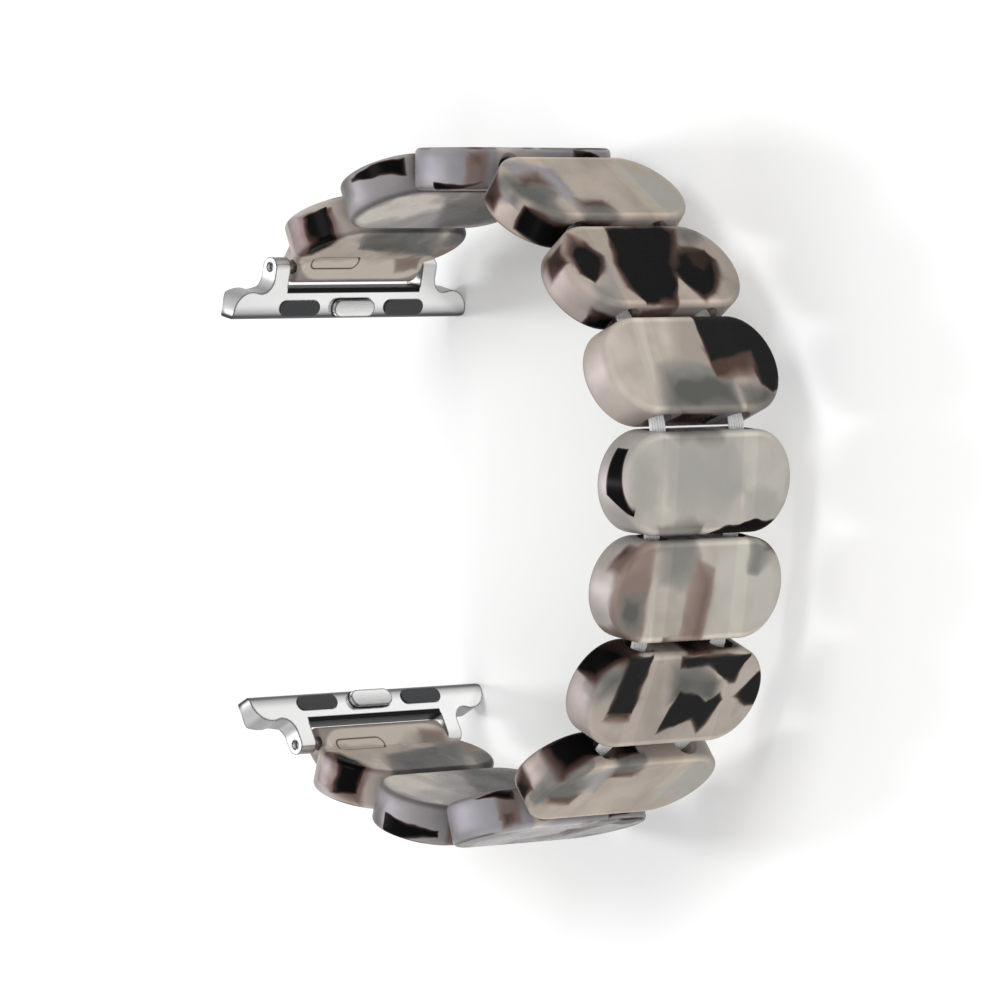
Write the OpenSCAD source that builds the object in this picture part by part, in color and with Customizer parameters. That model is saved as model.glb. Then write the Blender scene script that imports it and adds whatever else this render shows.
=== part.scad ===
// Resin watch strap: thirteen oval links strung on two elastic cords,
// with a swinging steel slide-in adapter on a spring bar at each end.
// It lies on its side, as it is photographed: Z is the strap's width, link 7 faces +X,
// and the links run over the top of the C to the upper adapter and under it to the lower one.
// Every piece is drawn flat, outer face up (+Z), with +Y along the strap and +X across it,
// and is then stood on its side at its own place.

/* [Links] */
// Width of the strap across a link
link_w = 22; // [18:0.5:26]
// Height of a link along the strap
link_h = 9.6; // [8.5:0.1:11]
// Thickness of a link
link_t = 4; // [3.6:0.1:5]
// Rounding of the outer edge
outer_r = 0.5; // [0.4:0.05:1.2]
// Rounding of the inner edge, on which two links roll
inner_r = 0.6; // [0.3:0.05:0.8]
// Gap between two links when the strap lies flat
link_gap = 0.2; // [0.2:0.05:0.6]

/* [Curl at rest] */
// Direction that link 7 faces, from +X
face_07 = -7.5; // [-15:0.5:10]
// Curl between links 1 and 2
curl_01 = 0; // [0:0.5:15]
// Curl between links 2 and 3
curl_02 = 23; // [15:0.5:35]
// Curl between links 3 and 4
curl_03 = 37; // [15:0.5:40]
// Curl between links 4 and 5
curl_04 = 14; // [5:0.5:35]
// Curl between links 5 and 6
curl_05 = 15.5; // [5:0.5:30]
// Curl between links 6 and 7
curl_06 = 28; // [15:0.5:35]
// Curl between links 7 and 8
curl_07 = 4.5; // [0:0.5:20]
// Curl between links 8 and 9
curl_08 = 14.5; // [5:0.5:30]
// Curl between links 9 and 10
curl_09 = 30.5; // [15:0.5:35]
// Curl between links 10 and 11
curl_10 = 20.5; // [5:0.5:30]
// Curl between links 11 and 12
curl_11 = 32; // [25:0.5:40]
// Curl between links 12 and 13
curl_12 = 0; // [0:0.5:15]
// Swing of the upper adapter, inward from its tongue
swing_upper = 23.5; // [0:0.5:40]
// Swing of the lower adapter, inward from its tongue
swing_lower = 14.5; // [0:0.5:40]

/* [Elastic cords] */
// Diameter of a cord's bundle of strands
cord_d = 1.8; // [1:0.1:2]
// Room round a cord in its hole
cord_room = 0.2; // [0.15:0.05:0.3]
// Distance of each cord from the middle of the strap
cord_off = 5.2; // [4.5:0.1:6]
// Depth of the countersink at each hole's mouth
sink = 0.4; // [0.2:0.05:0.6]

/* [End link] */
// Width of an end link's oval, across the strap
end_link_w = 19.8; // [18:0.2:22]
// Width of the tongue that enters the adapter
tongue_w = 15.4; // [14:0.2:16]
// Thickness of the tongue
tongue_t = 3; // [2.6:0.1:3.6]
// Angle by which the tongue drops inward
tongue_drop = 31; // [15:1:40]
// Distance of the tongue's bend from the link's centre
bend_off = 1.8; // [1.5:0.1:3]
// Distance of the spring bar from the bend
tongue_reach = 3.3; // [3.2:0.1:6]
// Length of the knot pocket across the strap
pocket_l = 6.1; // [5:0.1:6.5]
// Width of the knot pocket
pocket_w = 1.5; // [1.3:0.05:1.6]
// Distance of the knot pocket's centre from the middle of the strap
pocket_off = 4.05; // [3.6:0.05:4.3]
// Distance of the knot pocket's centre from the tongue's bend
pocket_at = 1.7; // [1.4:0.1:1.8]
// Depth of the knot pocket
pocket_depth = 2.8; // [2.6:0.1:3]
// Room round the cord's knot in its pocket
knot_room = 0.1; // [0.05:0.05:0.2]
// Thickness of the resin plug over the knot
plug_t = 0.6; // [0.5:0.05:0.8]
// Room round the plug
plug_room = 0.03; // [0.02:0.01:0.06]

/* [Spring bar] */
// Outer diameter of the tube
tube_d = 1.3; // [1.2:0.05:1.6]
// Diameter of a tip
tip_d = 0.8; // [0.6:0.05:0.9]
// Wall of the tube
tube_wall = 0.18; // [0.12:0.01:0.2]
// Room on the radius where one round piece runs in another
run_room = 0.05; // [0.03:0.01:0.08]
// Height of a tip's flange and head over its shaft, on the radius
head_step = 0.04; // [0.03:0.01:0.05]
// Thickness of a tip's flange
flange_t = 0.3; // [0.2:0.05:0.4]
// Length of a tip's head inside the tube
head_l = 0.8; // [0.5:0.1:1.2]
// Length of the tube's rolled lip
lip_l = 0.4; // [0.2:0.05:0.6]
// How far a tip's end lies below the ear's outer face
tip_inset = 0.5; // [0.2:0.05:0.7]
// Gap between faces that stop against each other
stop_gap = 0.05; // [0.04:0.01:0.1]
// Wire of the spring inside the tube
bar_wire = 0.12; // [0.08:0.01:0.14]
// Turns of the spring inside the tube
bar_turns = 14; // [8:1:18]

/* [Adapter] */
// Width of the nose that slides into the watch case
nose_w = 30.6; // [28:0.1:32]
// Thickness of the nose
nose_t = 2.6; // [2.4:0.05:3]
// Distance from the spring bar to the end of the nose
nose_end = 5.05; // [4.9:0.05:6]
// Rounding of the nose's outer edge
nose_r = 1.2; // [0.6:0.05:1.3]
// Rounding of the nose's inner edge
lip_r = 0.8; // [0.3:0.05:1]
// Rounding of the nose's corners, seen from outside
corner_r = 0.5; // [0.2:0.05:0.6]
// Rounding of the nose's ends, seen along the strap
nose_end_r = 1.4; // [0.6:0.1:1.6]
// Width of an ear
ear_w = 1.85; // [1.6:0.05:2.4]
// Thickness of an ear
ear_t = 1.9; // [1.6:0.05:2.2]
// Room between the tongue and each ear
ear_room = 1.05; // [0.5:0.05:1.4]
// Thickness of the bar between the ears
bar_t = 1.5; // [1.2:0.05:1.8]
// Room between the tongue's tip and the bar
bar_room = 0.4; // [0.3:0.05:1]
// Where the ears begin to flare into the nose, from the spring bar
flare_from = 1; // [0.6:0.1:1.4]
// Where the flare reaches the nose's full width, from the spring bar
flare_to = 4.4; // [4:0.1:4.5]
// Depth of the step that thins the adapter beside its ears
shoulder = 0.6; // [0.4:0.1:0.8]
// Width of the flat on the nose's crown
crown_flat = 0.5; // [0.3:0.1:0.8]

/* [Latch and pads] */
// Length of the latch button
button_l = 5.2; // [4.4:0.1:6]
// Width of the latch button
button_w = 1.65; // [1.5:0.05:1.8]
// Thickness of the latch button
button_t = 1.2; // [1:0.05:1.3]
// How far the latch button stands out of the adapter's inner face
button_out = 0.5; // [0.3:0.05:0.6]
// Room round the latch button
button_room = 0.08; // [0.05:0.01:0.12]
// Depth of the latch button's pocket
latch_depth = 2; // [1.9:0.05:2.1]
// Depth of the spring's seat in the latch button
seat_depth = 0.6; // [0.3:0.05:0.7]
// Outer diameter of the latch spring
spring_d = 1.1; // [0.9:0.05:1.2]
// Wire of the latch spring
spring_wire = 0.14; // [0.1:0.01:0.16]
// Turns of the latch spring
spring_turns = 4; // [3:1:6]
// Length of a rubber pad
pad_l = 5; // [4:0.1:6]
// Width of a rubber pad
pad_w = 1.4; // [1:0.05:1.6]
// How far a rubber pad stands out of the adapter's inner face
pad_out = 0.2; // [0.1:0.05:0.3]
// Depth of a rubber pad's pocket
pad_depth = 1.2; // [0.8:0.05:1.4]
// Distance of each rubber pad from the middle of the strap
pad_off = 6.85; // [6.2:0.05:8]
// Distance of the button and the pads from the nose's end
row_off = 1.2; // [1.1:0.05:1.4]

/* [Hidden] */
$fn = 64;

resin = "#c4bab0";
steel = "#d9dadc";
rubber = "#3f4447";
elastic = "#eef1f2";
cut = 0.01;

// Links
root_link = 7;
last_link = 13;
curls = [curl_01, curl_02, curl_03, curl_04, curl_05, curl_06,
         curl_07, curl_08, curl_09, curl_10, curl_11, curl_12];
half_pitch = (link_h + link_gap) / 2;
roll_off = link_t / 2 - inner_r;

// Cords, knots and their holes
hole_r = cord_d / 2 + cord_room;
knot_r = pocket_w / 2 - knot_room;
knot_wire = 0.42 * knot_r;
knot_from = pocket_off - (pocket_l - pocket_w) / 2;
knot_to = pocket_off + (pocket_l - pocket_w) / 2;
knot_lift = plug_t + knot_room + knot_r - tongue_t / 2;
knot_y = bend_off + pocket_at * cos(tongue_drop) + knot_lift * sin(tongue_drop);
knot_turns = 5;
cord_sides = 8;
bend_lead = 1;
wire_sides = 6;
turn_steps = 8;

// Spring bar, measured out from the middle of the strap
fork_half = tongue_w / 2 + ear_room;
ears_half = fork_half + ear_w;
tip_end = ears_half - tip_inset;
tip_travel = tip_end - fork_half + 2 * stop_gap;
flange_end = fork_half - 2 * stop_gap;
tube_half = flange_end - flange_t - tip_travel - stop_gap;
head_end = tube_half - lip_l - stop_gap;
tube_r = tube_d / 2;
tip_r = tip_d / 2;
head_r = tip_r + head_step;
flange_r = tube_r - run_room / 2;
spring_half = head_end - head_l - stop_gap;

// Adapter, measured from the spring bar toward the nose
hollow_share = 0.4;
inner_face = -ear_t / 2;
bar_top = tongue_t / 2 + bar_room;
row_at = nose_end - row_off;
profile_from = flare_from + shoulder;
profile_to = nose_end - nose_r - crown_flat;
shoulder_at = bar_top + shoulder;

// Directions in the plane of the C: outward through a link, and along the strap to link 1
function outward(a) = [cos(a), sin(a)];
function along(a) = [-sin(a), cos(a)];

// Direction that a link faces, and the place where it rolls on the next one
function face(i) =
    i == root_link ? face_07
    : i < root_link ? face(i + 1) + curls[i - 1]
    : face(i - 1) - curls[i - 2];
function pivot(i) =
    i < root_link
    ? centre(i + 1) + half_pitch * along(face(i + 1)) - roll_off * outward(face(i + 1))
    : centre(i) - half_pitch * along(face(i)) - roll_off * outward(face(i));
function centre(i) =
    i == root_link ? [0, 0]
    : i < root_link
    ? pivot(i) + half_pitch * along(face(i)) + roll_off * outward(face(i))
    : pivot(i - 1) - half_pitch * along(face(i)) + roll_off * outward(face(i));

// The two ends of the strap: side is 1 at the upper one and -1 at the lower one
function end_link(side) = side > 0 ? 1 : last_link;
function place(i, y, z) = centre(i) + y * along(face(i)) + z * outward(face(i));
function pin(side) = place(
    end_link(side),
    side * (bend_off + tongue_reach * cos(tongue_drop)),
    -tongue_reach * sin(tongue_drop)
);
function adapter_face(side) =
    face(end_link(side)) + side * (tongue_drop + (side > 0 ? swing_upper : swing_lower));
function adapter_place(side, y, z) =
    pin(side) + side * y * along(adapter_face(side)) + z * outward(adapter_face(side));

// Round corners that can touch the strap's box, each as its centre and its radius
corner_rounds = concat(
    [for (i = [1:last_link], s = [-1, 1])
        [place(i, s * (link_h / 2 - outer_r), link_t / 2 - outer_r), outer_r]],
    [for (i = [1:last_link], s = [-1, 1])
        [place(i, s * (link_h / 2 - inner_r), inner_r - link_t / 2), inner_r]],
    [for (s = [-1, 1]) [pin(s), tongue_t / 2]],
    [for (s = [-1, 1])
        [adapter_place(s, nose_end - nose_r, inner_face + nose_t - nose_r), nose_r]],
    [for (s = [-1, 1]) [adapter_place(s, nose_end - lip_r, inner_face + lip_r), lip_r]]
);
function reach(d) = max([for (c = corner_rounds) c[0] * d + c[1]]);
box_centre = [reach([1, 0]) - reach([-1, 0]), reach([0, 1]) - reach([0, -1])] / 2;

// A cord crosses each gap where the middle planes of its two links meet
function crossing(i) =
    place(i, -half_pitch - roll_off * tan(curls[i - 1] / 2), 0);
function at_height(p, z) = [p[0], p[1], z];
function ring(p, z, a, b) = [at_height(p, z), a, at_height(b, 0)];
up = [0, 0, 1];

// Three rings round the bend in the gap below link i: before it, on it and after it
function bend_rings(i, z) =
    let (before = along(face(i)), after = along(face(i + 1)),
         middle = outward((face(i) + face(i + 1)) / 2),
         c = crossing(i),
         first = c + bend_lead * before,
         last = c - bend_lead * after)
    [ring(first, z, up, outward(face(i))),
     ring((first + 2 * c + last) / 4, z, up, middle),
     ring(last, z, up, outward(face(i + 1)))];

// The left cord runs straight into each pocket and ends against the knot
function left_end(side) =
    let (i = end_link(side))
    [ring(place(i, side * (knot_y - knot_r - stop_gap), 0), cord_off, up,
          outward(face(i)))];

// The right cord turns once inside the end link and crosses it to the knot
function right_end(side) =
    let (i = end_link(side), corner = place(i, side * knot_y, 0),
         tongueward = at_height(side * along(face(i)), 0))
    [ring(corner, knot_from - knot_wire - stop_gap, -tongueward, outward(face(i))),
     ring(corner, -cord_off, up - tongueward, outward(face(i)))];
function backward(list) = [for (k = [len(list) - 1:-1:0]) list[k]];
function gap_rings(z) = [for (i = [1:last_link - 1]) each bend_rings(i, z)];
left_rings = concat(left_end(1), gap_rings(cord_off), left_end(-1));
right_rings = concat(right_end(1), gap_rings(-cord_off), backward(right_end(-1)));

// Points round a ring, and a tube through a list of rings
function ring_points(g, r, n) =
    [for (k = [0:n - 1]) g[0] + r * (cos(360 * k / n) * g[1] + sin(360 * k / n) * g[2])];

module tube_through(rings, r, n) {
    count = len(rings);
    points = [for (g = rings) each ring_points(g, r, n)];
    walls = [for (j = [0:count - 2], k = [0:n - 1])
        each [[j * n + k, (j + 1) * n + (k + 1) % n, (j + 1) * n + k],
              [j * n + k, j * n + (k + 1) % n, (j + 1) * n + (k + 1) % n]]];
    first = [for (k = [1:n - 2]) [0, k + 1, k]];
    last = [for (k = [1:n - 2]) [0, k, k + 1] + (count - 1) * n * [1, 1, 1]];
    polyhedron(points, concat(walls, first, last));
}

// A helical spring along +Z from its foot, with wire and coil radii
module coil_spring(length, r, wire_r, turns) {
    steps = turns * turn_steps;
    rise = length - 2 * wire_r;
    rings = [for (j = [0:steps])
        let (a = 360 * j / turn_steps)
        [[r * cos(a), r * sin(a), wire_r + rise * j / steps], [0, 0, 1], [cos(a), sin(a), 0]]];
    tube_through(rings, wire_r, wire_sides);
}

// An oblong with round ends, long across the strap
module oblong(l, w) {
    square([l - w, w], center = true);
    for (s = [-1, 1]) translate([s * (l - w) / 2, 0]) circle(d = w);
}

// One edge of a link's section, from its middle plane out to its wall
module edge_section() {
    half_h = link_h / 2;
    half_t = link_t / 2;
    translate([0, inner_r - half_t]) square([half_h, link_t - inner_r - outer_r]);
    translate([0, -half_t]) square([half_h - inner_r, half_t]);
    square([half_h - outer_r, half_t]);
    translate([half_h - inner_r, inner_r - half_t]) circle(r = inner_r);
    translate([half_h - outer_r, half_t - outer_r]) circle(r = outer_r);
}

// The oval slab of a link of width w: a straight bar between two turned ends
module slab(w) {
    end_off = (w - link_h) / 2;
    rotate([90, 0, 90]) linear_extrude(height = 2 * end_off, center = true) {
        edge_section();
        mirror([1, 0]) edge_section();
    }
    for (s = [-1, 1]) translate([s * end_off, 0, 0]) rotate([0, 0, -90 * s])
        rotate_extrude(angle = 180) edge_section();
}

// A cord hole from the wall on one side (-1 below, 1 above) to a depth, with its countersink
module cord_hole(x, side, depth) {
    translate([x, side * (link_h / 2 - depth), 0]) rotate([-90 * side, 0, 0])
        cylinder(r = hole_r, h = depth + 1);
    translate([x, side * (link_h / 2 - sink), 0]) rotate([-90 * side, 0, 0])
        cylinder(r1 = hole_r, r2 = hole_r + 2 * sink, h = 2 * sink);
}

module middle_link() {
    difference() {
        slab(link_w);
        for (x = [-cord_off, cord_off], side = [-1, 1]) cord_hole(x, side, link_h / 2);
    }
}

// Moves a drawing to the tongue: its bend is the origin, and +Y runs to the spring bar
module on_tongue() {
    translate([0, bend_off, 0]) rotate([-tongue_drop, 0, 0]) children();
}

module tongue() {
    translate([-tongue_w / 2, 0, -tongue_t / 2]) cube([tongue_w, tongue_reach, tongue_t]);
    translate([0, tongue_reach, 0]) rotate([0, 90, 0])
        cylinder(d = tongue_t, h = tongue_w, center = true);
}

// Knot pocket in the tongue, and the tunnel that brings the right cord to it
module knot_space() {
    on_tongue() translate([-pocket_off, pocket_at, pocket_depth - tongue_t / 2 - link_t])
        linear_extrude(height = link_t) oblong(pocket_l, pocket_w);
    translate([-pocket_off, knot_y, 0]) rotate([0, 90, 0])
        cylinder(r = hole_r, h = pocket_off + cord_off + hole_r);
}

module end_link_solid() {
    depth = link_h / 2 + knot_y;
    difference() {
        union() {
            slab(end_link_w);
            on_tongue() tongue();
        }
        knot_space();
        cord_hole(-cord_off, -1, depth);
        cord_hole(cord_off, -1, depth + hole_r);
        on_tongue() translate([0, tongue_reach, 0]) rotate([0, 90, 0])
            cylinder(r = tube_r + run_room, h = tongue_w + 1, center = true);
    }
}

// The tied ends of both cords: turns side by side round their own core
module knot() {
    step = (knot_to - knot_from) / (knot_turns - 1);
    on_tongue() translate([-knot_from, pocket_at, knot_lift]) rotate([0, -90, 0]) rotate_extrude() {
        square([knot_wire, knot_to - knot_from]);
        for (k = [0:knot_turns - 1]) translate([knot_r - knot_wire, k * step])
            circle(r = knot_wire);
    }
}

module plug() {
    on_tongue() translate([-pocket_off, pocket_at, -tongue_t / 2])
        linear_extrude(height = plug_t)
        oblong(pocket_l - 2 * plug_room, pocket_w - 2 * plug_room);
}

// Tube with a rolled lip at each end that keeps the tips in
module bar_tube() {
    rotate([0, 90, 0]) rotate_extrude() {
        translate([tube_r - tube_wall, -tube_half]) square([tube_wall, 2 * tube_half]);
        for (s = [-1, 1]) translate([tip_r + run_room / 2, s * (tube_half - lip_l / 2) - lip_l / 2])
            square([tube_r - tip_r - run_room / 2, lip_l]);
    }
}

// Sprung tip at the left end: head in the tube, flange outside it, nose in the ear
module bar_tip() {
    rotate([0, -90, 0]) rotate_extrude() {
        translate([0, head_end - head_l]) square([head_r, head_l]);
        translate([0, head_end - cut]) square([tip_r, tip_end - head_end + cut]);
        translate([0, flange_end - flange_t]) square([flange_r, flange_t]);
    }
}

module bar_spring() {
    r = tube_r - tube_wall - bar_wire / 2 - run_room / 2;
    translate([-spring_half, 0, 0]) rotate([0, 90, 0])
        coil_spring(2 * spring_half, r, bar_wire / 2, bar_turns);
}

// An S-shaped flare: from x0 at y0, round one arc and back round another, to x1 at y1
module flare(x0, y0, x1, y1) {
    both = ((x1 - x0) * (x1 - x0) + (y1 - y0) * (y1 - y0)) / (2 * (x1 - x0));
    hollow_r = both * hollow_share;
    crown_r = both - hollow_r;
    difference() {
        polygon([[x0, y0], [x0 + hollow_r, y0], [x1 - crown_r, y1], [x0, y1]]);
        translate([x0 + hollow_r, y0]) circle(r = hollow_r);
    }
    intersection() {
        translate([x1 - crown_r, y1]) circle(r = crown_r);
        translate([x0, y0]) square([x1 - x0, y1 - y0]);
    }
}

// Half of the adapter's outline, seen from outside
module adapter_outline() {
    half = nose_w / 2;
    translate([0, inner_face]) square([ears_half, nose_end - inner_face]);
    flare(ears_half, flare_from, half, flare_to);
    translate([0, flare_to]) square([half, nose_end - flare_to - corner_r]);
    translate([0, flare_to]) square([half - corner_r, nose_end - flare_to]);
    translate([half - corner_r, nose_end - corner_r]) circle(r = corner_r);
}

// The adapter's section through an ear: strap side at the left, nose at the right
module adapter_section() {
    outer = inner_face + nose_t;
    circle(d = ear_t);
    translate([0, inner_face]) square([nose_end - nose_r, ear_t]);
    translate([nose_end - nose_r - cut, inner_face]) square([nose_r - lip_r + cut, nose_t - nose_r]);
    translate([nose_end - nose_r - cut, inner_face + lip_r])
        square([nose_r + cut, nose_t - nose_r - lip_r]);
    translate([nose_end - lip_r, inner_face + lip_r]) circle(r = lip_r);
    translate([nose_end - nose_r, outer - nose_r]) circle(r = nose_r);
    translate([profile_to, 0]) square([nose_end - nose_r - profile_to, outer]);
    mirror([1, -1]) flare(ear_t / 2, profile_from, outer, profile_to);
}

// The adapter seen along the strap: flat inside, with its ends rounded off outside
module adapter_end_view() {
    half = nose_w / 2 - nose_end_r;
    crown = inner_face + nose_t - nose_end_r;
    translate([-nose_w / 2, inner_face]) square([nose_w, nose_t - nose_end_r]);
    translate([-half, inner_face]) square([2 * half, nose_t]);
    for (s = [-1, 1]) translate([s * half, crown]) circle(r = nose_end_r);
}

module adapter_blank() {
    intersection() {
        rotate([90, 0, 90]) linear_extrude(height = nose_w + 1, center = true) adapter_section();
        translate([0, nose_end + 1, 0]) rotate([90, 0, 0])
            linear_extrude(height = nose_end + ear_t + 2) adapter_end_view();
        translate([0, 0, inner_face - 1]) linear_extrude(height = nose_t + 2) {
            adapter_outline();
            mirror([1, 0]) adapter_outline();
        }
    }
}

module adapter_solid() {
    difference() {
        adapter_blank();
        translate([-fork_half, -ear_t, -nose_t])
            cube([2 * fork_half, ear_t + bar_top, 2 * nose_t]);
        translate([-fork_half, bar_top - cut, inner_face + bar_t])
            cube([2 * fork_half, shoulder_at - bar_top, nose_t]);
        rotate([0, 90, 0]) cylinder(r = tip_r + run_room, h = nose_w, center = true);
        translate([0, row_at, inner_face - cut]) linear_extrude(height = latch_depth + cut)
            oblong(button_l + 2 * button_room, button_w + 2 * button_room);
        for (s = [-1, 1]) translate([s * pad_off, row_at, inner_face - cut])
            linear_extrude(height = pad_depth + cut) oblong(pad_l, pad_w);
    }
}

module pads() {
    for (s = [-1, 1]) translate([s * pad_off, row_at, inner_face - pad_out])
        linear_extrude(height = pad_depth + pad_out) oblong(pad_l, pad_w);
}

module button() {
    difference() {
        translate([0, row_at, inner_face - button_out]) linear_extrude(height = button_t)
            oblong(button_l, button_w);
        translate([0, row_at, inner_face - button_out + button_t - seat_depth])
            cylinder(d = spring_d + 2 * run_room, h = seat_depth + cut);
    }
}

module button_spring() {
    foot = inner_face - button_out + button_t - seat_depth + stop_gap;
    translate([0, row_at, foot])
        coil_spring(inner_face + latch_depth - foot, (spring_d - spring_wire) / 2,
                    spring_wire / 2, spring_turns);
}

// Puts the strap's box on the origin
module framed() {
    translate([-box_centre[0], -box_centre[1], 0]) children();
}

// Stands a flat drawing up at a link's place; side -1 turns its +Y down the strap
module at_link(i, side = 1) {
    framed() translate(at_height(centre(i), 0)) rotate([0, 0, face(i)]) rotate([0, 90, 0])
        scale([1, side, 1]) children();
}

// Stands a flat drawing up at a spring bar, in line with its adapter
module at_adapter(side) {
    framed() translate(at_height(pin(side), 0)) rotate([0, 0, adapter_face(side)])
        rotate([0, 90, 0]) scale([1, side, 1]) children();
}

module link_01() { color(resin) at_link(1) end_link_solid(); }
module link_02() { color(resin) at_link(2) middle_link(); }
module link_03() { color(resin) at_link(3) middle_link(); }
module link_04() { color(resin) at_link(4) middle_link(); }
module link_05() { color(resin) at_link(5) middle_link(); }
module link_06() { color(resin) at_link(6) middle_link(); }
module link_07() { color(resin) at_link(7) middle_link(); }
module link_08() { color(resin) at_link(8) middle_link(); }
module link_09() { color(resin) at_link(9) middle_link(); }
module link_10() { color(resin) at_link(10) middle_link(); }
module link_11() { color(resin) at_link(11) middle_link(); }
module link_12() { color(resin) at_link(12) middle_link(); }
module link_13() { color(resin) at_link(13, -1) end_link_solid(); }

module elastic_cord_left() {
    color(elastic) framed() tube_through(left_rings, cord_d / 2, cord_sides);
}
module elastic_cord_right() {
    color(elastic) framed() tube_through(right_rings, cord_d / 2, cord_sides);
}
module upper_cord_knot() { color(elastic) at_link(1) knot(); }
module lower_cord_knot() { color(elastic) at_link(13, -1) knot(); }
module upper_knot_plug() { color(resin) at_link(1) plug(); }
module lower_knot_plug() { color(resin) at_link(13, -1) plug(); }

module upper_adapter() { color(steel) at_adapter(1) adapter_solid(); }
module lower_adapter() { color(steel) at_adapter(-1) adapter_solid(); }
module upper_rubber_pads() { color(rubber) at_adapter(1) pads(); }
module lower_rubber_pads() { color(rubber) at_adapter(-1) pads(); }
module upper_latch_button() { color(steel) at_adapter(1) button(); }
module lower_latch_button() { color(steel) at_adapter(-1) button(); }
module upper_latch_spring() { color(steel) at_adapter(1) button_spring(); }
module lower_latch_spring() { color(steel) at_adapter(-1) button_spring(); }

module upper_bar_tube() { color(steel) at_adapter(1) bar_tube(); }
module lower_bar_tube() { color(steel) at_adapter(-1) bar_tube(); }
module upper_bar_spring() { color(steel) at_adapter(1) bar_spring(); }
module lower_bar_spring() { color(steel) at_adapter(-1) bar_spring(); }
module upper_left_bar_tip() { color(steel) at_adapter(1) bar_tip(); }
module upper_right_bar_tip() { color(steel) at_adapter(1) mirror([1, 0, 0]) bar_tip(); }
module lower_left_bar_tip() { color(steel) at_adapter(-1) bar_tip(); }
module lower_right_bar_tip() { color(steel) at_adapter(-1) mirror([1, 0, 0]) bar_tip(); }

link_01();
link_02();
link_03();
link_04();
link_05();
link_06();
link_07();
link_08();
link_09();
link_10();
link_11();
link_12();
link_13();
elastic_cord_left();
elastic_cord_right();
upper_cord_knot();
lower_cord_knot();
upper_knot_plug();
lower_knot_plug();
upper_adapter();
lower_adapter();
upper_rubber_pads();
lower_rubber_pads();
upper_latch_button();
lower_latch_button();
upper_latch_spring();
lower_latch_spring();
upper_bar_tube();
lower_bar_tube();
upper_bar_spring();
lower_bar_spring();
upper_left_bar_tip();
upper_right_bar_tip();
lower_left_bar_tip();
lower_right_bar_tip();
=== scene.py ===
import math
import bmesh
import bpy
from mathutils import Matrix, Vector


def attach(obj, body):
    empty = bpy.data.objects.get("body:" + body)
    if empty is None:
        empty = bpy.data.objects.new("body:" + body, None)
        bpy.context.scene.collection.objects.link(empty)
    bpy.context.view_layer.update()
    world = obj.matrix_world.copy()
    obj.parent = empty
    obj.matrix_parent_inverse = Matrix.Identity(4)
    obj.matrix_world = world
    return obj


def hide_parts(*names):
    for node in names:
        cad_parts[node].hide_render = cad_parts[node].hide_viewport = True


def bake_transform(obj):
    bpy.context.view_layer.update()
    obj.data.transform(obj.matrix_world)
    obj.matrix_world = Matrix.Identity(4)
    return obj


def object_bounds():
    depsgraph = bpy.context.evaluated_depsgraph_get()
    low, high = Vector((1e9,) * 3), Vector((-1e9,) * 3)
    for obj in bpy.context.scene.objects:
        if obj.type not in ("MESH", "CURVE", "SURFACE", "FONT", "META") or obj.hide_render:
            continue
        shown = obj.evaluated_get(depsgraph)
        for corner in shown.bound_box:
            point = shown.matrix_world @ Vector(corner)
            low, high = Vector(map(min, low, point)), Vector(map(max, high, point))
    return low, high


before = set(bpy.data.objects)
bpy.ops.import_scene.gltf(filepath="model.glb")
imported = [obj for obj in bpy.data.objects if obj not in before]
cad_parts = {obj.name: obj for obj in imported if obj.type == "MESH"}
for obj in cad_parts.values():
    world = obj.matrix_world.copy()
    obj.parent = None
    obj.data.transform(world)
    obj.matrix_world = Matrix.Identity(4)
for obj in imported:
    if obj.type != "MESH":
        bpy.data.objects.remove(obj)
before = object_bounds()

# Studio
# The strap lies on its side on white paper and is photographed from above with a long
# lens, turned so that its C stands upright in the picture. Softboxes light it evenly, and
# the one beside the camera leaves no glare on the faces.
camera_place = (0.48277, -0.00042, 0.47203)
picture_right = Vector((0.69626, -0.03886, -0.71673))
picture_top = Vector((0.02708, 0.99924, -0.02787))
scene = bpy.context.scene
view = bpy.data.cameras.new("camera")
view.lens = 257
view.sensor_width = 36
view.clip_start = 0.01
view.clip_end = 20
camera = bpy.data.objects.new("camera", view)
bpy.context.collection.objects.link(camera)
scene.camera = camera
toward_camera = picture_right.cross(picture_top).normalized()
turn = Matrix((picture_right, picture_top, toward_camera)).transposed().to_4x4()
camera.matrix_world = Matrix.Translation(camera_place) @ turn

scene.view_settings.view_transform = "Standard"
scene.world = bpy.data.worlds.new("studio")
scene.world.use_nodes = True
surround = scene.world.node_tree.nodes["Background"].inputs
surround["Color"].default_value = (1, 1, 1, 1)
surround["Strength"].default_value = 0.62

# Each softbox's place and size in metres, and its power in watts
softboxes = {
    "softbox_end": ((-0.48, 0.02, 0.50), (0.10, 0.26), 1.2),
    "softbox_above": ((0.10, 0.30, 0.75), (0.30, 0.30), 2.0),
    "softbox_face": ((0.62, -0.10, 0.42), (0.18, 0.40), 1.25),
    "softbox_low": ((0.05, -0.60, 0.30), (0.40, 0.12), 0.9)}
for name, (place, size, power) in softboxes.items():
    light = bpy.data.lights.new(name, "AREA")
    light.shape = "RECTANGLE"
    light.size, light.size_y = size
    light.energy = power
    lamp = bpy.data.objects.new(name, light)
    bpy.context.collection.objects.link(lamp)
    lamp.location = place
    lamp.rotation_euler = (-Vector(place)).to_track_quat("-Z", "Y").to_euler()
    lamp.visible_glossy = name != "softbox_face"

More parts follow.
